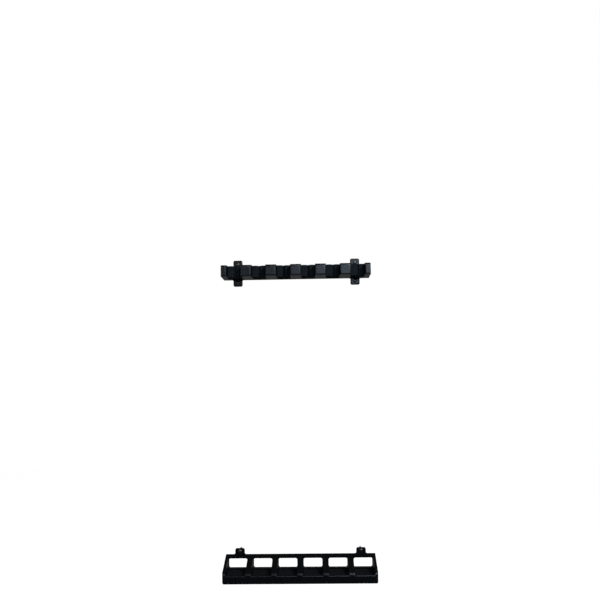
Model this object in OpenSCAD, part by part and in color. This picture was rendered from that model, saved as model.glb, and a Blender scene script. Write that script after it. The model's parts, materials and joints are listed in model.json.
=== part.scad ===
// Wall rack for six fishing rods: a base tray that takes the rod butts and an upper rail
// whose slots hold the blanks upright. Both are screwed flat to a wall.
// The wall is the plane y = 0 and the rack stands out of it towards -Y.
// The origin lies on the wall, midway between the two screws of the base tray.

/* [Layout] */
// Distance from one rod to the next, the same in the tray and in the rail
pitch = 57.5; // [54:0.5:72]
// Height of the middle of the rail above the underside of the tray
rail_height = 699; // [300:1:1000]
// Distance between the left and the right screw tabs
tab_spacing = 280; // [200:1:300]

/* [Base tray] */
// Depth of the tray from the wall to its front face
tray_depth = 70; // [62:1:90]
// Height of the tray at the wall
tray_back_h = 45; // [41:1:60]
// Height of the tray's front face
tray_front_h = 22.5; // [18:0.5:32]
// Width of one pocket
pocket_w = 45; // [34:0.5:47]
// Width of the tray outside each end pocket
tray_end = 6.25; // [6:0.25:16]
// Depth of the rim between the wall and the pockets
back_rim = 10; // [8:0.5:16]
// Thickness of the wall in front of the pockets
front_wall = 3; // [2:0.5:5]
// Height of that wall where it dips between the posts
dip_h = 19; // [16:0.5:22]
// Radius of the upright corners of a pocket
pocket_r = 3; // [1:0.5:8]
// Height of the pocket floors above the underside
floor_h = 8; // [4:0.5:9]
// Thickness of the pocket floors
floor_t = 3; // [2:0.5:3.5]
// Thickness of the moulded walls
wall = 2.5; // [2:0.1:3]
// Width of the window behind each pocket
window_w = 43; // [20:1:43]
// Height of the window
window_h = 22.5; // [12:0.5:23]
// Height of the window's lower edge above the underside
window_sill = 15; // [13:0.5:15]
// Radius of the window's corners
window_r = 4; // [2:0.5:6]
// Radius of the tray's front corners, seen from above
tray_corner_r = 5; // [3:0.5:6]
// Radius along the top of the posts' front ends
post_top_r = 4; // [1:0.5:6]
// Radius of the upright edges of the posts' front ends
post_edge_r = 2; // [1:0.5:3]

/* [Upper rail] */
// Depth of the rail from the wall to the fingers' front faces
rail_depth = 63; // [52:1:80]
// Height of the fingers' front faces
rail_front_h = 26; // [18:0.5:28]
// Height of the rail at the wall
rail_back_h = 32; // [28:0.5:38]
// Width of one rod slot
slot_w = 32.5; // [22:0.5:40]
// Depth of a rod slot, from the front faces inwards
slot_depth = 41; // [34:1:48]
// Width of the finger at each end of the rail
end_finger = 13; // [10:0.5:20]
// Radius of the fingers' upright front edges
finger_r = 3; // [1:0.5:4.5]
// Radius at the inner corners of a slot
slot_r = 4; // [1:0.5:6]
// Radius along the top of the front faces
finger_top_r = 5; // [1:0.5:7]
// Radius along the bottom of the front faces
finger_bottom_r = 3; // [0.5:0.5:4]
// Depth of the land left under a slot, between the wall and the recess there
under_land = 6.5; // [5:0.5:8]

/* [Grip pads] */
// Depth of the foam block in each slot
grip_depth = 18; // [12:0.5:24]
// Height of the foam block
grip_h = 27; // [16:0.5:28]
// Depth of the slit that the rod is pressed into
slit_depth = 12; // [6:0.5:16]
// Width of the slit
slit_w = 1.6; // [1:0.1:3]
// Width of the slit's flared mouth
mouth_w = 9; // [5:0.5:14]
// Depth of the flared mouth
mouth_depth = 4.5; // [2:0.5:6]
// Thickness of the foam mat on each pocket floor
mat_t = 4.5; // [3:0.5:5]
// Gap left all round a foam piece
foam_gap = 0.3; // [0.2:0.05:0.6]

/* [Screw tabs] */
// Width of a screw tab
tab_w = 22; // [14:0.5:26]
// Thickness of a screw tab
tab_t = 4; // [3:0.5:6]
// Radius of a tab's outer corners
tab_r = 4; // [2:0.5:6]
// Radius where a tab meets its strip
tab_foot_r = 2.5; // [1:0.5:4]
// Reach of the tray's tabs above its back edge
tray_tab_h = 13; // [12:0.5:20]
// Reach of the rail's tabs above and below it
rail_tab_h = 15.5; // [12:0.5:22]
// Distance of a screw's middle from the edge of its strip
screw_rise = 6.5; // [6:0.25:8]
// Diameter of the sunk seat round a screw hole
seat_d = 10.5; // [9.5:0.1:11.5]
// Depth of the sunk seat
seat_t = 1.2; // [0.6:0.1:2]

/* [Fixings] */
// Diameter of the screws over their threads
screw_d = 4; // [3:0.1:4.5]
// Diameter of a screw's plain neck, inside its tab
neck_d = 3.2; // [2.4:0.1:3.8]
// Length of a screw under its head
screw_len = 32; // [20:1:50]
// Diameter of the domed screw head
head_d = 8.4; // [7:0.1:9]
// Height of the screw head
head_h = 3; // [2:0.1:4]
// Play of a screw in its tab, on the diameter
screw_play = 0.6; // [0.2:0.1:1]

/* [Hidden] */
$fn = 48;
ROD_COUNT = 6;
over = 1;                     // how far a cutting shape runs past the face it cuts
plastic = "#1b1c20";
foam = "#3b3d42";
steel = "#b9bbbe";

tray_w = (ROD_COUNT - 1) * pitch + pocket_w + 2 * tray_end;
rail_w = (ROD_COUNT - 1) * pitch + slot_w + 2 * end_finger;
post_w = pitch - pocket_w;
finger_w = pitch - slot_w;
tab_x = tab_spacing / 2;
tray_screw_z = tray_back_h + screw_rise;
tray_z = -tray_screw_z;                   // underside of the tray
rail_z = tray_z + rail_height;            // middle of the rail
rail_screw_dz = rail_back_h / 2 + screw_rise;
slope = (tray_back_h - tray_front_h) / tray_depth;
slot_end = slot_depth - rail_depth;       // y of the inner end of a slot
seat_y = seat_t - tab_t;                  // y of the face that a screw head bears on
pocket_len = tray_depth - back_rim - front_wall;
dip_r = front_wall - 0.2;                 // round along the top of the dipped front wall
pocket_y = -back_rim - pocket_len / 2;    // middle of a pocket

function rod_x(i) = (i - (ROD_COUNT - 1) / 2) * pitch;
function tray_top(y) = tray_back_h + slope * y;
function unit(v) = v / norm(v);

// 2D shapes

module rounded_rect(w, h, r) {
    square([w - 2 * r, h], center = true);
    square([w, h - 2 * r], center = true);
    for (sx = [-1, 1], sy = [-1, 1])
        translate([sx * (w / 2 - r), sy * (h / 2 - r)]) circle(r);
}

// Convex outline whose corners are rounded by true arcs, each with its own radius
module rounded_outline(points, radii) {
    n = len(points);
    corners = [for (i = [0:n - 1]) let (
        p = points[i],
        a = unit(points[(i + n - 1) % n] - p),
        b = unit(points[(i + 1) % n] - p),
        half = acos(a * b) / 2,
        reach = radii[i] / tan(half))
        [p + a * reach, p + b * reach, p + unit(a + b) * radii[i] / sin(half)]];
    polygon([for (c = corners, k = [0, 1]) c[k]]);
    for (i = [0:n - 1]) translate(corners[i][2]) circle(radii[i]);
}

// The piece of a square corner that lies outside a round of radius r
module corner_fill(r) {
    difference() {
        translate([-0.01, -0.01]) square(r + 0.01);
        translate([r, r]) circle(r);
    }
}

// Side profiles are drawn as (y, z) and run along X
module along_x(length) {
    rotate([90, 0, 90]) linear_extrude(length, center = true) children();
}

// Back views are drawn as (x, z) and run from the wall towards the front
module out_of_wall(from, to) {
    translate([0, -from, 0]) rotate([90, 0, 0]) linear_extrude(to - from) children();
}

// Screw tabs

// A tab that reaches up from z = 0, with a root that reaches down into its strip
module tab_plate(reach, root) {
    out_of_wall(0, tab_t) {
        translate([0, reach / 2]) rounded_rect(tab_w, reach, tab_r);
        translate([-tab_w / 2, -root]) square([tab_w, root + reach / 2]);
        for (s = [-1, 1]) scale([s, 1]) translate([tab_w / 2, 0]) corner_fill(tab_foot_r);
    }
}

module tab_hole(z) {
    translate([0, over, z]) rotate([90, 0, 0]) cylinder(d = screw_d + screw_play, h = tab_t + 2 * over);
    translate([0, seat_y, z]) rotate([90, 0, 0]) cylinder(d = seat_d, h = tab_t + over);
}

// Base tray

module tray_block() {
    intersection() {
        along_x(tray_w) rounded_outline(
            [[0, 0], [-tray_depth, 0], [-tray_depth, tray_front_h], [0, tray_back_h]],
            [0.5, 2, post_top_r, 1]);
        linear_extrude(tray_back_h + over) {
            r = tray_corner_r;
            translate([0, -(tray_depth - r) / 2]) square([tray_w, tray_depth - r], center = true);
            translate([0, -tray_depth / 2]) square([tray_w - 2 * r, tray_depth], center = true);
            for (s = [-1, 1]) translate([s * (tray_w / 2 - r), r - tray_depth]) circle(r);
        }
    }
}

module pocket_plan() {
    translate([0, pocket_y]) rounded_rect(pocket_w, pocket_len, pocket_r);
}

// The dip in the front wall: a way out between two posts, flared at their front edges
module dip_cut() {
    translate([0, 0, dip_h]) linear_extrude(tray_back_h) {
        translate([-pocket_w / 2, -tray_depth - over]) square([pocket_w, front_wall + pocket_r + over]);
        for (s = [-1, 1]) scale([s, 1]) translate([pocket_w / 2, -tray_depth]) corner_fill(post_edge_r);
    }
    translate([0, -tray_depth, dip_h - dip_r]) rotate([90, 0, 90])
        linear_extrude(pocket_w, center = true) difference() {
            translate([-over, 0]) square([over + dip_r, dip_r + over]);
            translate([dip_r, 0]) circle(dip_r);
        }
}

module pocket_cut() {
    translate([0, 0, floor_h]) linear_extrude(tray_back_h) pocket_plan();
    translate([0, 0, -over]) linear_extrude(floor_h - floor_t + over) pocket_plan();
    dip_cut();
}

// Window in the rim behind a pocket, and the hollow in the sill below it
module window_cut() {
    translate([0, 0, window_sill + window_h / 2])
        out_of_wall(-over, back_rim + over) rounded_rect(window_w, window_h, window_r);
    hollow_h = window_sill - 2 * wall;
    translate([0, 0, wall + hollow_h / 2])
        out_of_wall(-over, back_rim - wall) rounded_rect(window_w, hollow_h, 1.5);
}

// Hollow under a post, open below, with the moulded wall left all round and above
module post_core(w) {
    length = tray_depth - wall - front_wall;
    intersection() {
        translate([0, -wall - length / 2, -over]) linear_extrude(tray_back_h)
            rounded_rect(w - 2 * wall, length, 1.5);
        along_x(w) polygon([[0, -over], [-tray_depth, -over],
                            [-tray_depth, tray_front_h - wall], [0, tray_back_h - wall]]);
    }
}

module base_tray() {
    color(plastic) translate([0, 0, tray_z]) difference() {
        union() {
            tray_block();
            for (s = [-1, 1]) translate([s * tab_x, 0, tray_back_h]) tab_plate(tray_tab_h, wall);
        }
        for (i = [0:ROD_COUNT - 1]) translate([rod_x(i), 0, 0]) {
            pocket_cut();
            window_cut();
        }
        for (i = [0:ROD_COUNT - 2]) translate([rod_x(i) + pitch / 2, 0, 0]) post_core(post_w);
        for (s = [-1, 1]) translate([s * tab_x, 0, 0]) tab_hole(tray_screw_z);
    }
}

module floor_mat(i) {
    color(foam) translate([rod_x(i), pocket_y, tray_z + floor_h]) linear_extrude(mat_t)
        rounded_rect(pocket_w - 2 * foam_gap, pocket_len - 2 * foam_gap, pocket_r - foam_gap);
}

// Upper rail

// The comb seen from above: a back strip, seven fingers, and rounds where they meet
module comb_outline() {
    translate([-rail_w / 2, slot_end]) square([rail_w, -slot_end]);
    for (k = [0:ROD_COUNT]) {
        at_end = k == 0 || k == ROD_COUNT;
        w = at_end ? end_finger : finger_w;
        x = k == 0 ? (end_finger - rail_w) / 2
          : k == ROD_COUNT ? (rail_w - end_finger) / 2
          : rod_x(k) - pitch / 2;
        translate([x, 0]) {
            translate([-w / 2, finger_r - rail_depth]) square([w, rail_depth - finger_r]);
            translate([finger_r - w / 2, -rail_depth]) square([w - 2 * finger_r, rail_depth]);
            for (s = [-1, 1]) translate([s * (w / 2 - finger_r), finger_r - rail_depth]) circle(finger_r);
        }
    }
    for (i = [0:ROD_COUNT - 1], s = [-1, 1])
        translate([rod_x(i) + s * slot_w / 2, slot_end]) scale([-s, -1]) corner_fill(slot_r);
}

// Hollows open to the wall: one in each finger and one behind each slot
module rail_cores() {
    core_h = rail_front_h - 2 * wall;
    core_r = 2;
    for (k = [1:ROD_COUNT - 1]) translate([rod_x(k) - pitch / 2, 0, 0])
        out_of_wall(-over, rail_depth - wall) rounded_rect(finger_w - 2 * wall, core_h, core_r);
    for (s = [-1, 1]) translate([s * (rail_w - end_finger) / 2, 0, 0])
        out_of_wall(-over, rail_depth - wall) rounded_rect(end_finger - 2 * wall, core_h, core_r);
    for (i = [0:ROD_COUNT - 1]) translate([rod_x(i), 0, 0])
        out_of_wall(-over, -slot_end - wall) rounded_rect(slot_w, core_h, core_r);
}

// Recess under each slot, up into the hollow behind it
module under_slot_cuts() {
    depth = -slot_end - wall - under_land;
    if (depth > 4) for (i = [0:ROD_COUNT - 1])
        translate([rod_x(i), -under_land - depth / 2, -rail_back_h]) linear_extrude(rail_back_h)
            rounded_rect(slot_w - 2 * wall, depth, 1.5);
}

module upper_rail() {
    color(plastic) translate([0, 0, rail_z]) difference() {
        union() {
            intersection() {
                along_x(rail_w) rounded_outline(
                    [[0, -rail_back_h / 2], [-rail_depth, -rail_front_h / 2],
                     [-rail_depth, rail_front_h / 2], [0, rail_back_h / 2]],
                    [0.5, finger_bottom_r, finger_top_r, 0.5]);
                translate([0, 0, -rail_back_h]) linear_extrude(2 * rail_back_h) comb_outline();
            }
            for (s = [-1, 1], up = [0, 180]) rotate([0, up, 0])
                translate([s * tab_x, 0, rail_back_h / 2]) tab_plate(rail_tab_h, wall);
        }
        rail_cores();
        under_slot_cuts();
        for (s = [-1, 1], up = [0, 180]) rotate([0, up, 0]) translate([s * tab_x, 0, 0])
            tab_hole(rail_screw_dz);
    }
}

// Foam block in a slot, slit down the middle, with a flared mouth towards the front
module grip_pad(i) {
    back = slot_end;
    front = back - grip_depth;
    w = slot_w - 2 * foam_gap;
    color(foam) translate([rod_x(i), 0, rail_z - grip_h / 2]) linear_extrude(grip_h) difference() {
        translate([-w / 2, front]) square([w, grip_depth]);
        translate([-slit_w / 2, front - over]) square([slit_w, slit_depth + over]);
        polygon([[-mouth_w / 2, front], [-mouth_w / 2, front - over], [mouth_w / 2, front - over],
                 [mouth_w / 2, front], [slit_w / 2, front + mouth_depth], [-slit_w / 2, front + mouth_depth]]);
        for (s = [-1, 1]) translate([s * w / 2, back]) scale([-s, -1])
            corner_fill(slot_r);
    }
}

// Fixings, drawn with the head towards the front and the tip in the wall

module screw() {
    tip = screw_d;
    dome_r = (pow(head_d / 2, 2) + pow(head_h / 2, 2)) / head_h;
    cross_w = 1.2;
    cross_l = head_d * 0.55;
    cross_t = head_h * 0.6;
    translate([0, seat_y, 0]) rotate([90, 0, 0]) difference() {
        union() {
            cylinder(d = head_d, h = head_h / 2);
            intersection() {
                cylinder(d = head_d, h = head_h);
                translate([0, 0, head_h - dome_r]) sphere(dome_r);
            }
            translate([0, 0, seat_y]) cylinder(d = neck_d, h = -seat_y);
            translate([0, 0, tip - screw_len]) cylinder(d = screw_d, h = screw_len - tip + seat_y);
            translate([0, 0, -screw_len]) cylinder(d1 = 0.6, d2 = screw_d, h = tip);
        }
        for (a = [0, 90]) rotate(a) translate([-cross_l / 2, -cross_w / 2, head_h - cross_t])
            cube([cross_l, cross_w, cross_t + over]);
    }
}

module at_tray_tabs() {
    for (s = [-1, 1]) translate([s * tab_x, 0, 0]) children();
}

module at_rail_tabs() {
    for (s = [-1, 1], up = [-1, 1]) translate([s * tab_x, 0, rail_z + up * rail_screw_dz]) children();
}

module base_screws() { color(steel) at_tray_tabs() screw(); }
module rail_screws() { color(steel) at_rail_tabs() screw(); }

base_tray();
base_screws();
upper_rail();
rail_screws();
for (i = [1:ROD_COUNT]) {
    floor_mat(i - 1);
    grip_pad(i - 1);
}
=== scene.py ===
"""Studio scene of a rack of two strips: a tray of butt pockets and a comb rail above it.

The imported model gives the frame. The two black mouldings, their foam and their screws are
dressed here: moulded edges, foam that shows its cells, threads and cross recesses, and
finishes made from shader nodes. All lengths are in metres unless a name says otherwise.
"""
from __future__ import annotations

import json
import logging
import math
from abc import ABC, abstractmethod
from collections.abc import Mapping, Sequence
from dataclasses import dataclass, field
from enum import Enum
from typing import NamedTuple

import bmesh
import bpy
from mathutils import Matrix, Vector, noise

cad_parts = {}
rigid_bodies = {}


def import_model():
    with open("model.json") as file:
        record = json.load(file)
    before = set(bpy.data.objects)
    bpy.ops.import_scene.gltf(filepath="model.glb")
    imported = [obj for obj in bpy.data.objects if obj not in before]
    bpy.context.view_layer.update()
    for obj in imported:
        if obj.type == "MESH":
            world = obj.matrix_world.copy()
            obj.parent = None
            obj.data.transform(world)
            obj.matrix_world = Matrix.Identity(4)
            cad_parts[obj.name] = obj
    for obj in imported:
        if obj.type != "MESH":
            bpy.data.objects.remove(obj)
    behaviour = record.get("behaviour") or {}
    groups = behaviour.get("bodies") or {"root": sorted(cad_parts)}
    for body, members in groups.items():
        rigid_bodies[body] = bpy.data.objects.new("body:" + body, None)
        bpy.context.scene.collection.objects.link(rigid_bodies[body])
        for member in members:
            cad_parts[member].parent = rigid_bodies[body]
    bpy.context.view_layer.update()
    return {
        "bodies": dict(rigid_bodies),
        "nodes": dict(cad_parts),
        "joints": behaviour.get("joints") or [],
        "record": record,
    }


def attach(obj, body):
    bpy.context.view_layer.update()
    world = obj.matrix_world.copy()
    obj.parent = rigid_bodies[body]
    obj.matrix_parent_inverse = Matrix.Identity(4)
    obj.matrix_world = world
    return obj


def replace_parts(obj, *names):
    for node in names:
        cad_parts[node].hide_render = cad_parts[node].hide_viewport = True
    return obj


LOG = logging.getLogger("rod_rack")
MM = 0.001
WELD = 0.002 * MM  # points nearer than this are one
ON_PLANE = 0.01 * MM  # a point nearer to a plane than this lies on it
CUT_SNAP = 0.001 * MM  # a cut goes through points that are nearer than this
FLAT = math.radians(0.6)  # facets that meet at less are one face

Point = tuple[float, float, float]
Colour = tuple[float, float, float]
Pair = tuple[float, float]
Span = tuple[float, float]
Term = float | bpy.types.NodeSocket

WHITE: Colour = (1.0, 1.0, 1.0)
DUST: Colour = (0.30, 0.29, 0.27)


class Finish(Enum):
    """The finishes of the rack: the record's material slot, and a name of its own."""

    PLASTIC = ("plastic", "moulding")
    GRIP_FOAM = ("foam", "grip")
    # The mat foam is the grip foam painted darker: painted shade for the dimmer light on the
    # tray's floor
    MAT_FOAM = ("foam", "mat")
    SCREW = ("screw", "screw")

    @property
    def slot(self) -> str:
        """The record's material slot."""
        return self.value[0]


class Side(Enum):
    """The end of a strip at which a screw tab stands, by the sign of x."""

    LEFT = -1
    RIGHT = 1


@dataclass(frozen=True)
class Layout:
    """Where the pockets, the slots and the screw tabs lie. Each slot is above its pocket."""

    places: int = 6
    pitch: float = 57.5 * MM
    tab_x: float = 140.0 * MM
    tab_z: float = 22.5 * MM
    tab_front: float = -4.0 * MM
    seat_y: float = -2.8 * MM
    rail_z: float = 647.5 * MM

    def middles(self) -> list[float]:
        """Give x of the middle of each pocket and its slot, from left to right."""
        return [(i - (self.places - 1) / 2) * self.pitch for i in range(self.places)]

    def tray_hole(self, side: Side) -> Pair:
        """Give x and z of a screw hole of the tray."""
        return side.value * self.tab_x, 0.0

    def rail_hole(self, side: Side, up: int) -> Pair:
        """Give x and z of a screw hole of the rail, with up 1 above the rail and -1 below."""
        return side.value * self.tab_x, self.rail_z + up * self.tab_z


LAYOUT = Layout()


# Meshes


def new_object(name: str, mesh: bpy.types.Mesh) -> bpy.types.Object:
    """Link a new object that shows a mesh.

    Args:
        name: The object's name.
        mesh: The mesh that it shows.

    Returns:
        The object.
    """
    obj = bpy.data.objects.new(name, mesh)
    bpy.context.scene.collection.objects.link(obj)
    return obj


def mesh_of(bm: bmesh.types.BMesh, name: str) -> bpy.types.Mesh:
    """Turn an edited surface into a mesh and free it.

    Args:
        bm: The edited surface.
        name: The mesh's name.

    Returns:
        The mesh.
    """
    mesh = bpy.data.meshes.new(name)
    bm.to_mesh(mesh)
    bm.free()
    return mesh


def bake_modifiers(obj: bpy.types.Object) -> None:
    """Replace an object's mesh by its modified mesh and clear the modifiers.

    Args:
        obj: The object whose modifiers are baked.
    """
    graph = bpy.context.evaluated_depsgraph_get()
    mesh = bpy.data.meshes.new_from_object(obj.evaluated_get(graph), depsgraph=graph)
    obj.modifiers.clear()
    obj.data = mesh


def solid_of_node(node: bpy.types.Object) -> bmesh.types.BMesh:
    """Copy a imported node's surface with its facets welded and its flat faces whole.

    Args:
        node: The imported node.

    Returns:
        The welded surface, in the row's frame.
    """
    bm = bmesh.new()
    bm.from_mesh(node.data)
    bm.transform(node.matrix_world)
    bmesh.ops.remove_doubles(bm, verts=bm.verts, dist=WELD)
    bmesh.ops.dissolve_limit(bm, angle_limit=FLAT, verts=bm.verts, edges=bm.edges)
    bmesh.ops.recalc_face_normals(bm, faces=bm.faces)
    return bm


# Shader nodes


class Noise(NamedTuple):
    """One noise: its features per metre, its octaves and how strong the finer ones are."""

    scale: float
    detail: float
    roughness: float


class NodeBoard:
    """A shader node tree and the calls that fill it."""

    def __init__(self, tree: bpy.types.NodeTree) -> None:
        """Hold the tree."""
        self.tree = tree

    def node(self, kind: str, **settings: object) -> bpy.types.Node:
        """Add a node and set its properties.

        Args:
            kind: The node's type name.
            **settings: Properties of the node.

        Returns:
            The new node.
        """
        made = self.tree.nodes.new(kind)
        for key, value in settings.items():
            setattr(made, key, value)
        return made

    def link(self, source: bpy.types.NodeSocket, target: bpy.types.NodeSocket) -> None:
        """Join two sockets."""
        self.tree.links.new(source, target)

    def feed(self, target: bpy.types.NodeSocket, term: Term | Sequence[float]) -> None:
        """Give an input its number or colour, or the socket that it follows.

        Args:
            target: The input.
            term: A number, a colour with its alpha, or a socket.
        """
        if isinstance(term, bpy.types.NodeSocket):
            self.link(term, target)
        else:
            target.default_value = term

    def combine(self, operation: str, *terms: Term, clamp: bool = False) -> bpy.types.NodeSocket:
        """Combine numbers or sockets by one operation.

        Args:
            operation: The operation's name.
            *terms: What it works on.
            clamp: Whether the result is kept between 0 and 1.

        Returns:
            The result.
        """
        made = self.node("ShaderNodeMath", operation=operation, use_clamp=clamp)
        for i, term in enumerate(terms):
            self.feed(made.inputs[i], term)
        return made.outputs["Value"]

    def stretch(self, source: bpy.types.NodeSocket, span: Span,
                easing: str = "LINEAR") -> bpy.types.NodeSocket:
        """Stretch a value so that the span's first end becomes 0 and its second 1.

        Args:
            source: The value.
            span: The two ends, rising or falling.
            easing: The way between them.

        Returns:
            The mask.
        """
        made = self.node("ShaderNodeMapRange", clamp=True, interpolation_type=easing)
        self.link(source, made.inputs["Value"])
        self.feed(made.inputs["From Min"], span[0])
        self.feed(made.inputs["From Max"], span[1])
        return made.outputs["Result"]


class EffectBoard(NodeBoard):
    """The nodes of one shared effect: a group with named inputs and outputs."""

    def __init__(self, name: str, inputs: Mapping[str, float], outputs: Sequence[str]) -> None:
        """Make the group with its sockets.

        Args:
            name: The group's name.
            inputs: Each input's name and default.
            outputs: Each output's name.
        """
        super().__init__(bpy.data.node_groups.new(name, "ShaderNodeTree"))
        kind = "NodeSocketFloat"
        for given, default in inputs.items():
            socket = self.tree.interface.new_socket(given, in_out="INPUT", socket_type=kind)
            socket.default_value = default
        for wanted in outputs:
            self.tree.interface.new_socket(wanted, in_out="OUTPUT", socket_type=kind)
        self.entry = self.node("NodeGroupInput")
        self.exit = self.node("NodeGroupOutput")

    def given(self, name: str) -> bpy.types.NodeSocket:
        """Give the value of one of the group's inputs."""
        return self.entry.outputs[name]

    def give(self, name: str, source: bpy.types.NodeSocket) -> None:
        """Send a value to one of the group's outputs."""
        self.link(source, self.exit.inputs[name])

    def place(self) -> bpy.types.NodeSocket:
        """Give the surface's own coordinates, in metres."""
        return self.node("ShaderNodeTexCoord").outputs["Object"]

    def noise(self, scale: Term, detail: float, roughness: float) -> bpy.types.NodeSocket:
        """Add a noise over the surface's own coordinates.

        Args:
            scale: Features per metre.
            detail: Octaves.
            roughness: Strength of the finer octaves.

        Returns:
            The noise's value.
        """
        made = self.node("ShaderNodeTexNoise")
        self.link(self.place(), made.inputs["Vector"])
        self.feed(made.inputs["Scale"], scale)
        self.feed(made.inputs["Detail"], detail)
        self.feed(made.inputs["Roughness"], roughness)
        return made.outputs["Fac"]

    def bubbles(self, scale: bpy.types.NodeSocket) -> bpy.types.NodeSocket:
        """Add round cells over the surface's own coordinates.

        Args:
            scale: Cells per metre.

        Returns:
            The distance from the middle of each cell.
        """
        made = self.node("ShaderNodeTexVoronoi", feature="F1")
        self.link(self.place(), made.inputs["Vector"])
        self.link(scale, made.inputs["Scale"])
        return made.outputs["Distance"]

    def at_least(self, mask: bpy.types.NodeSocket, least: float) -> bpy.types.NodeSocket:
        """Raise a mask so that it runs from a least value to 1."""
        return self.combine("ADD", self.combine("MULTIPLY", mask, 1.0 - least), least)


@dataclass
class Effects:
    """The surface effects that several finishes share, each built once as a node group.

    A span gives the values of its source at which a mask is 0 and 1.
    """

    pebble_detail: float = 3.0
    pebble_roughness: float = 0.55
    waves: Noise = Noise(38.0, 2.0, 0.5)
    patches: Noise = Noise(95.0, 5.0, 0.6)
    patch_span: Span = (0.35, 0.68)
    edge_span: Span = (0.515, 0.60)
    rub: Noise = Noise(420.0, 4.0, 0.65)
    rub_span: Span = (0.38, 0.62)
    rub_least: float = 0.3
    upward_span: Span = (0.35, 0.98)
    specks: Noise = Noise(900.0, 4.0, 0.7)
    speck_span: Span = (0.42, 0.75)
    speck_least: float = 0.4
    small_cells: float = 2.3
    big_share: float = 0.65
    pit_span: Span = (0.18, 0.52)
    grain: bpy.types.NodeTree = field(init=False)
    rubbed_edge: bpy.types.NodeTree = field(init=False)
    dust: bpy.types.NodeTree = field(init=False)
    cells: bpy.types.NodeTree = field(init=False)

    def __post_init__(self) -> None:
        """Build every group."""
        self.grain = self._grain()
        self.rubbed_edge = self._rubbed_edge()
        self.dust = self._dust()
        self.cells = self._cells()

    def _grain(self) -> bpy.types.NodeTree:
        """Build the fine pebbled texture that a mould leaves, with slow waves under it.

        Returns:
            The group.
        """
        g = EffectBoard("mould_grain", {"Scale": 1800.0, "Waves": 0.25}, ("Height", "Patches"))
        fine = g.noise(g.given("Scale"), self.pebble_detail, self.pebble_roughness)
        lifted = g.combine("MULTIPLY", g.noise(*self.waves), g.given("Waves"))
        g.give("Height", g.combine("ADD", fine, lifted))
        g.give("Patches", g.stretch(g.noise(*self.patches), self.patch_span))
        return g.tree

    def _rubbed_edge(self) -> bpy.types.NodeTree:
        """Build the mask of edges that use has polished.

        Returns:
            The group.
        """
        g = EffectBoard("rubbed_edge", {"Sharpness": 0.5}, ("Mask",))
        form = g.node("ShaderNodeNewGeometry")
        edge = g.stretch(form.outputs["Pointiness"], self.edge_span)
        broken = g.stretch(g.noise(*self.rub), self.rub_span)
        kept = g.combine("MULTIPLY", edge, g.at_least(broken, self.rub_least))
        g.give("Mask", g.combine("MULTIPLY", kept, g.given("Sharpness")))
        return g.tree

    def _dust(self) -> bpy.types.NodeTree:
        """Build the thin dust that settles on faces that look up.

        Returns:
            The group.
        """
        g = EffectBoard("settled_dust", {"Amount": 0.1}, ("Mask",))
        form = g.node("ShaderNodeNewGeometry")
        split = g.node("ShaderNodeSeparateXYZ")
        g.link(form.outputs["Normal"], split.inputs["Vector"])
        upward = g.stretch(split.outputs["Z"], self.upward_span)
        specks = g.stretch(g.noise(*self.specks), self.speck_span)
        cover = g.combine("MULTIPLY", upward, g.at_least(specks, self.speck_least))
        g.give("Mask", g.combine("MULTIPLY", cover, g.given("Amount")))
        return g.tree

    def _cells(self) -> bpy.types.NodeTree:
        """Build the small cut bubbles of foam.

        Returns:
            The group.
        """
        g = EffectBoard("foam_cells", {"Scale": 1400.0}, ("Height", "Pits"))
        big = g.bubbles(g.given("Scale"))
        small = g.bubbles(g.combine("MULTIPLY", g.given("Scale"), self.small_cells))
        mixed = g.combine("ADD", g.combine("MULTIPLY", big, self.big_share),
                          g.combine("MULTIPLY", small, 1.0 - self.big_share))
        g.give("Height", mixed)
        g.give("Pits", g.stretch(mixed, self.pit_span))
        return g.tree


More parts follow.
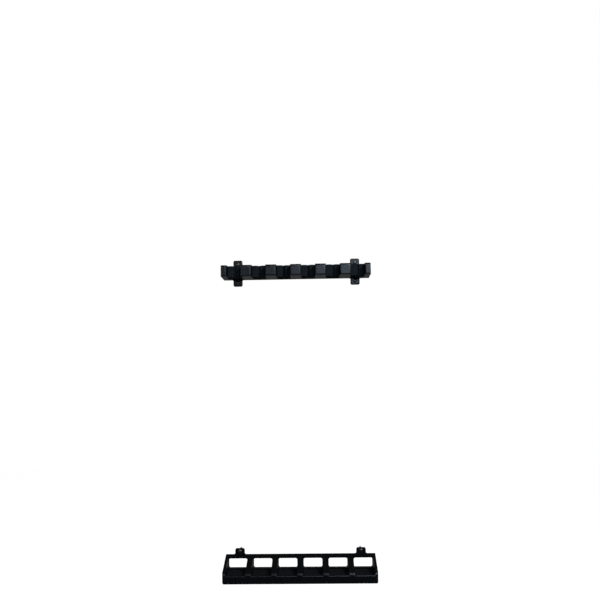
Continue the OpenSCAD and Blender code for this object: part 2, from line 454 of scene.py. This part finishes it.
class FinishBoard(NodeBoard):
    """The nodes of one material, round its Principled shader."""

    def __init__(self, name: str, colour: Colour) -> None:
        """Make the material in one colour.

        Args:
            name: The material's name.
            colour: The base colour.
        """
        self.material = bpy.data.materials.new(name)
        self.material.use_nodes = True
        super().__init__(self.material.node_tree)
        self.shader = next(n for n in self.tree.nodes if n.type == "BSDF_PRINCIPLED")
        self.set("Base Color", (*colour, 1.0))

    def set(self, name: str, term: Term | Sequence[float]) -> None:
        """Feed one of the shader's inputs."""
        self.feed(self.shader.inputs[name], term)

    def effect(self, tree: bpy.types.NodeTree,
               **values: float) -> Mapping[str, bpy.types.NodeSocket]:
        """Place a shared effect.

        Args:
            tree: The effect's node group.
            **values: The effect's input values.

        Returns:
            The effect's outputs by name.
        """
        made = self.node("ShaderNodeGroup")
        made.node_tree = tree
        for key, value in values.items():
            self.feed(made.inputs[key], value)
        return made.outputs

    def mix(self, mask: bpy.types.NodeSocket, low: bpy.types.NodeSocket | Colour,
            high: Colour) -> bpy.types.NodeSocket:
        """Mix two colours by a mask.

        Args:
            mask: The mask.
            low: The colour where the mask is 0, or a socket that gives it.
            high: The colour where the mask is 1.

        Returns:
            The mixed colour.
        """
        made = self.node("ShaderNodeMix", data_type="RGBA")
        self.link(mask, made.inputs["Factor"])
        self.feed(made.inputs["A"], (*low, 1.0) if isinstance(low, tuple) else low)
        self.feed(made.inputs["B"], (*high, 1.0))
        return made.outputs["Result"]

    def spread(self, mask: bpy.types.NodeSocket, span: Span) -> bpy.types.NodeSocket:
        """Spread a mask between two values.

        Args:
            mask: The mask.
            span: The values where the mask is 0 and 1.

        Returns:
            The spread value.
        """
        made = self.node("ShaderNodeMapRange")
        self.link(mask, made.inputs["Value"])
        self.feed(made.inputs["To Min"], span[0])
        self.feed(made.inputs["To Max"], span[1])
        return made.outputs["Result"]

    def bump(self, height: bpy.types.NodeSocket, depth: float, strength: float) -> None:
        """Raise the shader's normal by a height.

        Args:
            height: The height, about 0 to 1.
            depth: The relief in metres, below 0 where the height goes inwards.
            strength: How much of the relief shows.
        """
        made = self.node("ShaderNodeBump")
        self.feed(made.inputs["Distance"], depth)
        self.feed(made.inputs["Strength"], strength)
        self.link(height, made.inputs["Height"])
        self.set("Normal", made.outputs["Normal"])


# Finishes


def shade(colour: Colour, *factors: float) -> Colour:
    """Scale a colour by one factor for every channel, or by one for each."""
    return tuple(c * factors[i % len(factors)] for i, c in enumerate(colour))


@dataclass(frozen=True)
class MouldedPlastic:
    """Black injection-moulded plastic with a satin, finely pebbled face."""

    name: str
    colour: Colour
    specular: float = 0.5
    tint: Colour = (0.68, 0.82, 1.0)
    roughness: Span = (0.25, 0.31)
    grain_scale: float = 1900.0
    grain_waves: float = 0.4
    grain_depth: float = 0.02 * MM
    grain_strength: float = 0.3
    cloud: float = 1.12
    rubbed: Colour = (0.0034, 0.0038, 0.0046)
    rubbing: float = 0.6
    dust: float = 0.004

    def build(self, effects: Effects) -> bpy.types.Material:
        """Make the plastic.

        Args:
            effects: The shared surface effects.

        Returns:
            The material.
        """
        board = FinishBoard(self.name, self.colour)
        board.set("Specular IOR Level", self.specular)
        board.set("Specular Tint", (*self.tint, 1.0))
        grain = board.effect(effects.grain, Scale=self.grain_scale, Waves=self.grain_waves)
        edge = board.effect(effects.rubbed_edge, Sharpness=self.rubbing)
        dust = board.effect(effects.dust, Amount=self.dust)
        clouded = board.mix(grain["Patches"], self.colour, shade(self.colour, self.cloud))
        worn = board.mix(edge["Mask"], clouded, self.rubbed)
        board.set("Base Color", board.mix(dust["Mask"], worn, DUST))
        board.set("Roughness", board.spread(grain["Patches"], self.roughness))
        board.bump(grain["Height"], self.grain_depth, self.grain_strength)
        return board.material


@dataclass(frozen=True)
class ClosedFoam:
    """Dull blue-black foam whose cut faces show their cells, with painted shade in the sunken
    pits and painted light on the cell walls.
    """

    name: str
    colour: Colour
    specular: float = 0.15
    roughness: Span = (0.78, 0.95)
    cell_scale: float = 1300.0
    cell_depth: float = 0.12 * MM
    cell_strength: float = 0.8
    # Shares of the colour: painted light on the raised cell walls, painted shade in the sunken
    # pits
    wall_light_gain: float = 1.25
    pit_shade_gain: float = 0.55
    dust: float = 0.003

    def build(self, effects: Effects) -> bpy.types.Material:
        """Make the foam.

        Args:
            effects: The shared surface effects.

        Returns:
            The material.
        """
        board = FinishBoard(self.name, self.colour)
        board.set("Specular IOR Level", self.specular)
        cells = board.effect(effects.cells, Scale=self.cell_scale)
        dust = board.effect(effects.dust, Amount=self.dust)
        # Painted shade: the sunken cell pits are painted darker and the cell walls lighter, as
        # light and shade would fall on them
        cell_shaded = board.mix(cells["Pits"], shade(self.colour, self.wall_light_gain),
                           shade(self.colour, self.pit_shade_gain))
        board.set("Base Color", board.mix(dust["Mask"], cell_shaded, DUST))
        board.set("Roughness", board.spread(cells["Pits"], self.roughness))
        board.bump(cells["Height"], -self.cell_depth, self.cell_strength)
        return board.material


@dataclass(frozen=True)
class PlatedSteel:
    """Dark zinc plate over steel, with a fine grain and dull patches."""

    name: str
    colour: Colour
    roughness: Span = (0.30, 0.44)
    grain_scale: float = 5200.0
    grain_waves: float = 0.1
    grain_depth: float = 0.01 * MM
    grain_strength: float = 0.4
    dulling: tuple[float, float, float] = (0.78, 0.80, 0.84)

    def build(self, effects: Effects) -> bpy.types.Material:
        """Make the plated steel.

        Args:
            effects: The shared surface effects.

        Returns:
            The material.
        """
        board = FinishBoard(self.name, self.colour)
        board.set("Metallic", 1.0)
        grain = board.effect(effects.grain, Scale=self.grain_scale, Waves=self.grain_waves)
        dulled = shade(self.colour, *self.dulling)
        board.set("Base Color", board.mix(grain["Patches"], self.colour, dulled))
        board.set("Roughness", board.spread(grain["Patches"], self.roughness))
        board.bump(grain["Height"], self.grain_depth, self.grain_strength)
        return board.material


class Finishes:
    """The finished materials of the rack."""

    def __init__(self) -> None:
        """Build the effects once and every material from them."""
        effects = Effects()
        recipes = {
            Finish.PLASTIC: MouldedPlastic("black_moulded_plastic", (0.0018, 0.0020, 0.0026)),
            Finish.GRIP_FOAM: ClosedFoam("blue_black_foam", (0.0085, 0.0145, 0.0215)),
            # Painted shade: the floor mats use the grip foam painted about half as bright, for
            # the dimmer light in the tray
            Finish.MAT_FOAM: ClosedFoam("mat_foam", (0.0040, 0.0068, 0.0098)),
            Finish.SCREW: PlatedSteel("dark_zinc_steel", (0.11, 0.115, 0.12)),
        }
        self._made = {finish: recipe.build(effects) for finish, recipe in recipes.items()}

    def dress(self, obj: bpy.types.Object, finish: Finish) -> bpy.types.Object:
        """Give an object one finish.

        Args:
            obj: The object.
            finish: The finish.

        Returns:
            The same object.
        """
        obj.data.materials.clear()
        obj.data.materials.append(self._made[finish])
        return obj


# The pieces of the rack


@dataclass
class Moulding(ABC):
    """A hard plastic strip: the tray or the rail, with the small rounds that a mould leaves."""

    node: str
    piece: str
    edge_radius: float = 0.45 * MM
    edge_steps: int = 3
    crease: float = math.radians(32)
    flat_weight: int = 80
    tab_round: float = 2.6 * MM
    tab_steps: int = 4
    tab_clear: float = 6.0 * MM
    tab_reach: float = 13.0 * MM
    tab_crease: float = 0.8

    def build(self, frame: dict, finishes: Finishes) -> bpy.types.Object:
        """Shape the strip, round its edges and dress it.

        Args:
            frame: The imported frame.
            finishes: The rack's finishes.

        Returns:
            The strip.
        """
        bm = solid_of_node(frame["nodes"][self.node])
        self.shape(bm)
        bm.normal_update()
        self._soften_tabs(bm)
        obj = new_object(self.piece, mesh_of(bm, self.piece))
        round_off = obj.modifiers.new("round", "BEVEL")
        round_off.width = self.edge_radius
        round_off.segments = self.edge_steps
        round_off.limit_method = "ANGLE"
        round_off.angle_limit = self.crease
        round_off.miter_outer = "MITER_ARC"
        round_off.use_clamp_overlap = True
        round_off.harden_normals = False
        bake_modifiers(obj)
        obj.data.shade_smooth()
        weigh = obj.modifiers.new("flat_faces", "WEIGHTED_NORMAL")
        weigh.weight = self.flat_weight
        weigh.keep_sharp = False
        bake_modifiers(obj)
        finishes.dress(obj, Finish.PLASTIC)
        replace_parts(obj, self.node)
        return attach(obj, "root")

    @abstractmethod
    def shape(self, bm: bmesh.types.BMesh) -> None:
        """Change the strip's welded surface before its edges are rounded."""

    @abstractmethod
    def holes(self) -> list[Pair]:
        """Give x and z of the middle of each screw hole."""

    def _soften_tabs(self, bm: bmesh.types.BMesh) -> None:
        """Round the front edges of the screw tabs more than the rest.

        Args:
            bm: The strip's welded surface.
        """
        holes = self.holes()
        rims = [edge for edge in bm.edges if self._on_rim(edge, holes)]
        bmesh.ops.bevel(bm, geom=rims, offset=self.tab_round, offset_type="OFFSET",
                        segments=self.tab_steps, profile=0.5, affect="EDGES",
                        clamp_overlap=False)

    def _on_rim(self, edge: bmesh.types.BMEdge, holes: Sequence[Pair]) -> bool:
        """Tell whether an edge runs round a tab's front face.

        Args:
            edge: The edge.
            holes: The middle of each tab's screw hole, as (x, z).

        Returns:
            True where it does.
        """
        if any(abs(v.co.y - LAYOUT.tab_front) > ON_PLANE for v in edge.verts):
            return False
        if edge.calc_face_angle(0.0) < self.tab_crease:
            return False
        middle = (edge.verts[0].co + edge.verts[1].co) / 2
        away = min(math.hypot(middle.x - x, middle.z - z) for x, z in holes)
        return self.tab_clear < away < self.tab_reach


@dataclass
class RailMoulding(Moulding):
    """The comb rail, with open mouths under its slots."""

    node: str = "upper_rail"
    piece: str = "comb_rail"
    mouth_x: float = 13.8 * MM
    mouth_y: Span = (-19.6 * MM, -6.4 * MM)
    mouth_drop: float = 14.5 * MM
    mouth_middle_y: float = -13.0 * MM
    flare_x: float = 1.9 * MM
    flare_back: float = 3.7 * MM
    flare_front: float = 0.8 * MM
    under_z: float = 16.0 * MM
    under_slope: float = 3.0 / 63.0

    def shape(self, bm: bmesh.types.BMesh) -> None:
        """Flare the recess under each slot towards its mouth.

        Args:
            bm: The rail's welded surface.
        """
        for v in bm.verts:
            drop = LAYOUT.rail_z - v.co.z
            if drop < self.mouth_drop or not self.mouth_y[0] < v.co.y < self.mouth_y[1]:
                continue
            near = min(LAYOUT.middles(), key=lambda middle: abs(v.co.x - middle))
            if abs(v.co.x - near) > self.mouth_x:
                continue
            v.co.x += math.copysign(self.flare_x, v.co.x - near)
            v.co.y += self.flare_back if v.co.y > self.mouth_middle_y else -self.flare_front
            v.co.z = LAYOUT.rail_z - self.under_z - v.co.y * self.under_slope

    def holes(self) -> list[Pair]:
        """Give x and z of the middle of each screw hole."""
        return [LAYOUT.rail_hole(side, up) for side in Side for up in (-1, 1)]


@dataclass
class TrayMoulding(Moulding):
    """The tray, with steep facets at its posts' front ends and a rounded underside."""

    node: str = "base_tray"
    piece: str = "butt_tray"
    edge_radius: float = 0.3 * MM
    tab_round: float = 1.2 * MM
    front_y: float = -70.0 * MM
    foot_z: float = -32.2 * MM
    brow_z: float = -27.9 * MM
    lean: float = math.radians(31)
    half_width: float = 172.5 * MM
    corner: float = 5.0 * MM
    under_z: float = -51.5 * MM
    under_round: float = 2.0 * MM
    under_steps: tuple[float, ...] = (0.35 * MM, 1.0 * MM, 2.0 * MM, 3.0 * MM, 4.0 * MM)

    def shape(self, bm: bmesh.types.BMesh) -> None:
        """Lean the posts' front ends back above the lip and round the underside's ends.

        Args:
            bm: The tray's welded surface.
        """
        for level in (self.foot_z, *(self.under_z + rise for rise in self.under_steps)):
            cut = bm.verts[:] + bm.edges[:] + bm.faces[:]
            bmesh.ops.bisect_plane(bm, geom=cut, dist=CUT_SNAP, plane_co=(0.0, 0.0, level),
                                   plane_no=(0.0, 0.0, 1.0))
        for v in bm.verts:
            rise = v.co.z - self.foot_z
            if rise > 0.0 and v.co.z < self.brow_z:
                v.co.y = max(v.co.y, self.front_y + rise * math.tan(self.lean))
            self._round_under(v)

    def _round_under(self, v: bmesh.types.BMVert) -> None:
        """Draw a point near the underside in towards the middle of the tray's corner.

        The round is widest and highest at the ends, and the front keeps its own.

        Args:
            v: The point.
        """
        out = abs(v.co.x) - (self.half_width - self.corner)
        ahead = max(0.0, self.front_y + self.corner - v.co.y)
        if out <= 0.0:
            return
        reach = math.hypot(out, ahead)
        aside = out / reach
        height = (1.0 + aside) * self.under_round
        rise = (v.co.z - self.under_z) / height
        if rise >= 1.0:
            return
        fall = 1.0 - max(0.0, rise)
        inset = (1.0 + aside / 2) * self.under_round * (1.0 - math.sqrt(1.0 - fall ** 2))
        scale = min(1.0, (self.corner - inset) / reach)
        v.co.x -= math.copysign(out * (1.0 - scale), v.co.x)
        v.co.y += ahead * (1.0 - scale)

    def holes(self) -> list[Pair]:
        """Give x and z of the middle of each screw hole."""
        return [LAYOUT.tray_hole(side) for side in Side]


@dataclass
class FoamPiece:
    """A block or mat of foam, softened at its edges and slightly uneven between them."""

    node: str
    piece: str
    seed: int
    finish: Finish
    voxel: float = 0.8 * MM
    softness: float = 0.5
    soft_steps: int = 3
    unevenness: float = 0.16 * MM
    slow: float = 140.0
    quick: float = 620.0
    slow_share: float = 0.7
    quick_share: float = 0.3
    drift: Point = (7.3, 3.1, 5.7)

    def build(self, frame: dict, finishes: Finishes) -> bpy.types.Object:
        """Remesh the foam's solid, soften it and dress it.

        Args:
            frame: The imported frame.
            finishes: The rack's finishes.

        Returns:
            The foam piece.
        """
        solid = solid_of_node(frame["nodes"][self.node])
        obj = new_object(self.piece, mesh_of(solid, self.piece))
        remesh = obj.modifiers.new("even", "REMESH")
        remesh.mode = "VOXEL"
        remesh.voxel_size = self.voxel
        soften = obj.modifiers.new("soften", "SMOOTH")
        soften.factor = self.softness
        soften.iterations = self.soft_steps
        bake_modifiers(obj)
        self._press(obj.data)
        obj.data.shade_smooth()
        finishes.dress(obj, self.finish)
        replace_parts(obj, self.node)
        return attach(obj, "root")

    def _press(self, mesh: bpy.types.Mesh) -> None:
        """Move each point along its normal by the foam's unevenness.

        Args:
            mesh: The foam's mesh.
        """
        shift = Vector([self.seed * d for d in self.drift])
        moves = []
        for v in mesh.vertices:
            slow = noise.noise(v.co * self.slow + shift)
            quick = noise.noise(v.co * self.quick + shift)
            rise = self.slow_share * slow + self.quick_share * quick
            moves.append(v.normal * (self.unevenness * rise))
        for v, move in zip(mesh.vertices, moves):
            v.co += move


@dataclass
class WoodScrew:
    """A pan-headed wood screw with a cross recess and a rolled thread.

    It is turned with its head above z = 0 and its shank below, and then laid along +Y. Each
    step of the rim is how far in from the head's edge and how high it is. The reach and the
    spread of the recess are shares of its sizes, at its bottom and at its mouth.
    """

    head_r: float = 4.2 * MM
    head_h: float = 3.0 * MM
    crown: float = 0.2 * MM
    shoulder: float = 1.1 * MM
    shoulder_power: int = 6
    steps: int = 14
    rim: tuple[Pair, ...] = ((0.0, 0.9 * MM), (0.05 * MM, 0.35 * MM), (0.35 * MM, 0.0))
    neck_r: float = 1.6 * MM
    neck_length: float = 2.8 * MM
    flare_r: float = 0.3 * MM
    flare_length: float = 0.4 * MM
    neck_taper: float = 0.6 * MM
    core_r: float = 1.45 * MM
    length: float = 32.0 * MM
    tip_length: float = 4.0 * MM
    point_r: float = 0.12 * MM
    point_length: float = 0.2 * MM
    recess_r: float = 2.3 * MM
    recess_w: float = 1.15 * MM
    recess_depth: float = 1.9 * MM
    recess_reach: Span = (0.42, 1.25)
    recess_spread: Span = (0.7, 1.1)
    recess_over: float = 0.6 * MM
    recess_voxel: float = 0.09 * MM
    thread_r: float = 2.0 * MM
    pitch: float = 1.8 * MM
    thread_below_neck: float = 0.4 * MM
    thread_above_point: float = 1.2 * MM
    thread_half: float = 0.36 * MM
    crest_half: float = 0.04 * MM
    thread_sink: float = 0.1 * MM
    thread_steps: int = 28
    thread_run_in: float = 2.0
    thread_run_out: float = 1.4
    tip_least: float = 0.05
    crease: float = math.radians(38)
    ring: int = 48

    def build(self, piece: str, hole: Pair, turn: float, finishes: Finishes) -> bpy.types.Object:
        """Make a screw whose head bears on the tab's seat and whose shank runs along +Y.

        Args:
            piece: The piece's name.
            hole: x and z of the screw hole.
            turn: The angle of the cross recess.
            finishes: The rack's finishes.

        Returns:
            The screw.
        """
        head = self._head(piece)
        recess = self._recess(piece + "_recess")
        cut = head.modifiers.new("cross", "BOOLEAN")
        cut.operation = "DIFFERENCE"
        cut.solver = "EXACT"
        cut.object = recess
        bake_modifiers(head)
        bpy.data.objects.remove(recess)
        bm = bmesh.new()
        bm.from_mesh(head.data)
        self._thread(bm)
        seat = Matrix.Translation(Vector((hole[0], LAYOUT.seat_y, hole[1])))
        laid = Matrix.Rotation(math.radians(90), 4, "X")
        bm.transform(seat @ Matrix.Rotation(turn, 4, "Y") @ laid)
        bmesh.ops.recalc_face_normals(bm, faces=bm.faces)
        bm.to_mesh(head.data)
        bm.free()
        head.data.shade_smooth()
        head.data.set_sharp_from_angle(angle=self.crease)
        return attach(finishes.dress(head, Finish.SCREW), "root")

    def _lathe(self, bm: bmesh.types.BMesh, profile: Sequence[Pair]) -> None:
        """Turn a profile about Z and close it at both ends.

        Args:
            bm: The surface that gets the faces.
            profile: Each step's radius and height, with radius 0 at both ends.
        """
        rings = []
        for r, z in profile:
            if r == 0.0:
                rings.append([bm.verts.new((0.0, 0.0, z))])
                continue
            angles = (2 * math.pi * i / self.ring for i in range(self.ring))
            rings.append([bm.verts.new((r * math.cos(a), r * math.sin(a), z)) for a in angles])
        for low, high in zip(rings, rings[1:]):
            for i in range(self.ring):
                j = (i + 1) % self.ring
                corners = [low[i % len(low)], low[j % len(low)],
                           high[j % len(high)], high[i % len(high)]]
                bm.faces.new(list(dict.fromkeys(corners)))

    def _head(self, name: str) -> bpy.types.Object:
        """Turn the head, the neck and the core of the shank.

        Args:
            name: The object's name.

        Returns:
            The turned piece.
        """
        dome = [(0.0, self.head_h)]
        for i in range(1, self.steps + 1):
            out = math.sin(math.pi / 2 * i / self.steps)
            fall = self.crown * out ** 2 + self.shoulder * out ** self.shoulder_power
            dome.append((self.head_r * out, self.head_h - fall))
        rim = [(self.head_r - inward, z) for inward, z in self.rim]
        shank = [
            (self.neck_r + self.flare_r, 0.0),
            (self.neck_r, -self.flare_length),
            (self.neck_r, -self.neck_length),
            (self.core_r, -self.neck_length - self.neck_taper),
            (self.core_r, -self.length + self.tip_length),
            (self.point_r, -self.length + self.point_length),
            (0.0, -self.length),
        ]
        bm = bmesh.new()
        self._lathe(bm, list(reversed(dome + rim + shank)))
        return new_object(name, mesh_of(bm, name))

    def _recess(self, name: str) -> bpy.types.Object:
        """Make the cutter of the cross recess, tapered towards its bottom.

        Args:
            name: The object's name.

        Returns:
            The cutter.
        """
        bm = bmesh.new()
        levels = (self.head_h - self.recess_depth, self.head_h + self.recess_over)
        for angle in (0.0, math.pi / 2):
            for v in bmesh.ops.create_cube(bm, size=1.0)["verts"]:
                end = 0 if v.co.z < 0 else 1
                reach = self.recess_r * self.recess_reach[end]
                half = self.recess_w / 2 * self.recess_spread[end]
                v.co = Vector((math.copysign(reach, v.co.x), math.copysign(half, v.co.y),
                               levels[end]))
                v.co.rotate(Matrix.Rotation(angle, 3, "Z"))
        obj = new_object(name, mesh_of(bm, name))
        union = obj.modifiers.new("own", "REMESH")
        union.mode = "VOXEL"
        union.voxel_size = self.recess_voxel
        bake_modifiers(obj)
        return obj

    def _thread(self, bm: bmesh.types.BMesh) -> None:
        """Sweep the rolled thread down the shank and taper it into the tip.

        Args:
            bm: The surface that gets the thread.
        """
        start = -self.neck_length - self.thread_below_neck
        end = -self.length + self.thread_above_point
        turns = (start - end) / self.pitch
        count = int(turns * self.thread_steps)
        last: list[bmesh.types.BMVert] = []
        for i in range(count + 1):
            t = i / count
            a = 2 * math.pi * turns * t
            z = start + (end - start) * t
            tip = min(1.0, max(self.tip_least, (z + self.length) / self.tip_length))
            rise = min(1.0, t * turns * self.thread_run_in)
            fade = min(1.0, tip * self.thread_run_out)
            crest = self.core_r * tip + (self.thread_r - self.core_r) * rise * fade
            root = self.core_r * tip - self.thread_sink
            section = [(root, z + self.thread_half), (crest, z + self.crest_half),
                       (crest, z - self.crest_half), (root, z - self.thread_half)]
            verts = [bm.verts.new((r * math.cos(a), r * math.sin(a), h)) for r, h in section]
            if last:
                for k in range(len(section)):
                    n = (k + 1) % len(section)
                    bm.faces.new((last[k], last[n], verts[n], verts[k]))
            else:
                bm.faces.new(verts)
            last = verts
        bm.faces.new(list(reversed(last)))


@dataclass
class ButtTray:
    """The lower strip: the tray, its floor mats and its two screws.

    The screws' turns are those of the left and the right one.
    """

    turns: Pair = (0.35, -0.6)
    screw: WoodScrew = field(default_factory=WoodScrew)

    def build(self, frame: dict, finishes: Finishes) -> list[bpy.types.Object]:
        """Build every piece of the tray.

        Args:
            frame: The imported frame.
            finishes: The rack's finishes.

        Returns:
            The pieces.
        """
        made = [TrayMoulding().build(frame, finishes)]
        for i in range(1, LAYOUT.places + 1):
            mat = FoamPiece(f"floor_mat_{i}", f"foam_floor_mat_{i}", i, Finish.MAT_FOAM)
            made.append(mat.build(frame, finishes))
        for side, turn in zip(Side, self.turns):
            name = f"tray_screw_{side.name.lower()}"
            obj = self.screw.build(name, LAYOUT.tray_hole(side), turn, finishes)
            made.append(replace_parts(obj, "base_screws"))
        return made


@dataclass
class CombRail:
    """The upper strip: the comb, its foam grips and its four screws.

    The screws' turns are those of the left upper, left lower, right upper and right lower one.
    """

    turns: tuple[float, ...] = (0.2, 1.1, -0.35, 0.75)
    first_seed: int = 11
    screw: WoodScrew = field(default_factory=WoodScrew)

    def build(self, frame: dict, finishes: Finishes) -> list[bpy.types.Object]:
        """Build every piece of the rail.

        Args:
            frame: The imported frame.
            finishes: The rack's finishes.

        Returns:
            The pieces.
        """
        made = [RailMoulding().build(frame, finishes)]
        for i in range(1, LAYOUT.places + 1):
            seed = self.first_seed + i - 1
            grip = FoamPiece(f"grip_pad_{i}", f"foam_grip_{i}", seed, Finish.GRIP_FOAM)
            made.append(grip.build(frame, finishes))
        turns = iter(self.turns)
        for side in Side:
            for row, up in (("upper", 1), ("lower", -1)):
                name = f"rail_screw_{row}_{side.name.lower()}"
                hole = LAYOUT.rail_hole(side, up)
                obj = self.screw.build(name, hole, next(turns), finishes)
                made.append(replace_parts(obj, "rail_screws"))
        return made


# The studio


@dataclass(frozen=True)
class Camera:
    """The photograph's view of the rack, fitted to the corners of both strips."""

    place: Point = (0.04248, -1.49803, 0.46278)
    yaw: float = -1.322
    pitch: float = 4.539
    roll: float = -0.877
    focal_px: float = 629.08
    frame_px: float = 600.0
    sensor_mm: float = 36.0
    clip: Span = (0.05, 60.0)

    def build(self) -> bpy.types.Object:
        """Make the camera and set it as the scene's.

        Returns:
            The camera.
        """
        data = bpy.data.cameras.new("rack_view")
        data.sensor_width = self.sensor_mm
        data.lens = self.focal_px / self.frame_px * data.sensor_width
        data.clip_start, data.clip_end = self.clip
        camera = bpy.data.objects.new("rack_view", data)
        bpy.context.scene.collection.objects.link(camera)
        yaw, pitch, roll = (math.radians(turn) for turn in (self.yaw, self.pitch, self.roll))
        forward = Vector((math.sin(yaw) * math.cos(pitch), math.cos(yaw) * math.cos(pitch),
                          math.sin(pitch)))
        level = Vector((math.cos(yaw), -math.sin(yaw), 0.0))
        up = level.cross(forward)
        right = math.cos(roll) * level + math.sin(roll) * up
        top = -math.sin(roll) * level + math.cos(roll) * up
        turn = Matrix((right, top, -forward)).transposed().to_4x4()
        camera.matrix_world = Matrix.Translation(self.place) @ turn
        bpy.context.scene.camera = camera
        return camera


@dataclass(frozen=True)
class SoftLamp:
    """A rectangular studio lamp that points at the rack."""

    name: str
    place: Point
    width: float
    height: float
    watts: float
    aim: Point = (0.0, -0.03, 0.3)

    def build(self) -> bpy.types.Object:
        """Make the lamp.

        Returns:
            The lamp.
        """
        data = bpy.data.lights.new(self.name, "AREA")
        data.shape = "RECTANGLE"
        data.size = self.width
        data.size_y = self.height
        data.energy = self.watts
        lamp = bpy.data.objects.new(self.name, data)
        bpy.context.scene.collection.objects.link(lamp)
        lamp.location = self.place
        lamp.rotation_mode = "QUATERNION"
        way = Vector(self.aim) - Vector(self.place)
        lamp.rotation_quaternion = way.to_track_quat("-Z", "Y")
        return lamp


@dataclass(frozen=True)
class Studio:
    """The plain floor, the white surroundings and the lamps.

    The backdrop is the white that glossy and clear surfaces see behind the rack, as a share of
    full white. Its spans run from none to full, by how far a direction is off level and how
    far it points behind the rack.
    """

    floor_place: Point = (0.0, 2.6, -0.9)
    floor_size: float = 7.0
    floor_colour: Colour = (0.45, 0.45, 0.45)
    floor_roughness: float = 0.9
    floor_glow: float = 0.97
    surround: float = 0.024
    backdrop: float = 0.25
    backdrop_z: Span = (0.26, 0.12)
    backdrop_y: Span = (0.5, 0.9)
    lamps: tuple[SoftLamp, ...] = (
        SoftLamp("key", (1.4, -2.2, 2.1), 0.6, 0.6, 58.0),
        SoftLamp("fill", (-1.3, -2.4, 1.0), 0.8, 1.2, 10.0),
        SoftLamp("softbox", (1.3, -3.1, 1.55), 3.0, 1.5, 43.0),
        SoftLamp("back_left", (-2.2, 1.5, 1.6), 1.2, 1.2, 9.0),
        SoftLamp("back_right", (2.2, 1.5, 1.6), 1.2, 1.2, 9.0),
    )

    def build(self) -> None:
        """Make the floor, the world and the lamps."""
        self._floor()
        self._world()
        for lamp in self.lamps:
            lamp.build()

    def _floor(self) -> None:
        """Lay the floor, white to the camera where it isn't shaded."""
        bm = bmesh.new()
        bmesh.ops.create_grid(bm, x_segments=1, y_segments=1, size=self.floor_size / 2)
        obj = new_object("floor", mesh_of(bm, "floor"))
        obj.location = self.floor_place
        board = FinishBoard("pale_floor", self.floor_colour)
        board.set("Roughness", self.floor_roughness)
        board.set("Specular IOR Level", 0.0)
        seen = board.node("ShaderNodeLightPath").outputs["Is Camera Ray"]
        board.set("Emission Color", (*WHITE, 1.0))
        board.set("Emission Strength", board.combine("MULTIPLY", seen, self.floor_glow))
        obj.data.materials.append(board.material)

    def _world(self) -> None:
        """Surround the rack with a plain level of light, and put white behind it.

        The camera sees white all round. Glossy and clear surfaces see some of it behind
        the rack.
        """
        world = bpy.data.worlds.new("white_room")
        bpy.context.scene.world = world
        world.use_nodes = True
        world.node_tree.nodes.clear()
        board = NodeBoard(world.node_tree)
        path = board.node("ShaderNodeLightPath").outputs
        way = board.node("ShaderNodeSeparateXYZ")
        board.link(board.node("ShaderNodeTexCoord").outputs["Generated"], way.inputs["Vector"])
        off_level = board.combine("ABSOLUTE", way.outputs["Z"], clamp=True)
        level = board.stretch(off_level, self.backdrop_z, "SMOOTHSTEP")
        onward = board.stretch(way.outputs["Y"], self.backdrop_y, "SMOOTHSTEP")
        behind = board.combine("MULTIPLY", level, onward, clamp=True)
        faint = board.combine("MULTIPLY", behind, self.backdrop, clamp=True)
        mirrored = board.combine("ADD", path["Is Glossy Ray"], path["Is Transmission Ray"],
                                 clamp=True)
        bounced = board.combine("MULTIPLY", mirrored, faint, clamp=True)
        mix = board.node("ShaderNodeMixShader")
        board.feed(mix.inputs["Fac"],
                   board.combine("ADD", path["Is Camera Ray"], bounced, clamp=True))
        for slot, strength in ((1, self.surround), (2, 1.0)):
            light = board.node("ShaderNodeBackground")
            board.feed(light.inputs["Color"], (*WHITE, 1.0))
            board.feed(light.inputs["Strength"], strength)
            board.link(light.outputs["Background"], mix.inputs[slot])
        out = board.node("ShaderNodeOutputWorld")
        board.link(mix.outputs["Shader"], out.inputs["Surface"])


def main() -> None:
    """Build the scene in order and report each piece."""
    logging.basicConfig(level=logging.INFO, format="%(name)s: %(message)s")
    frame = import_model()
    Camera().build()
    bpy.context.scene.view_settings.view_transform = "Standard"
    finishes = Finishes()
    for strip in (ButtTray(), CombRail()):
        for piece in strip.build(frame, finishes):
            LOG.info("%s: %d faces", piece.name, len(piece.data.polygons))
    Studio().build()


if __name__ == "__main__":
    main()
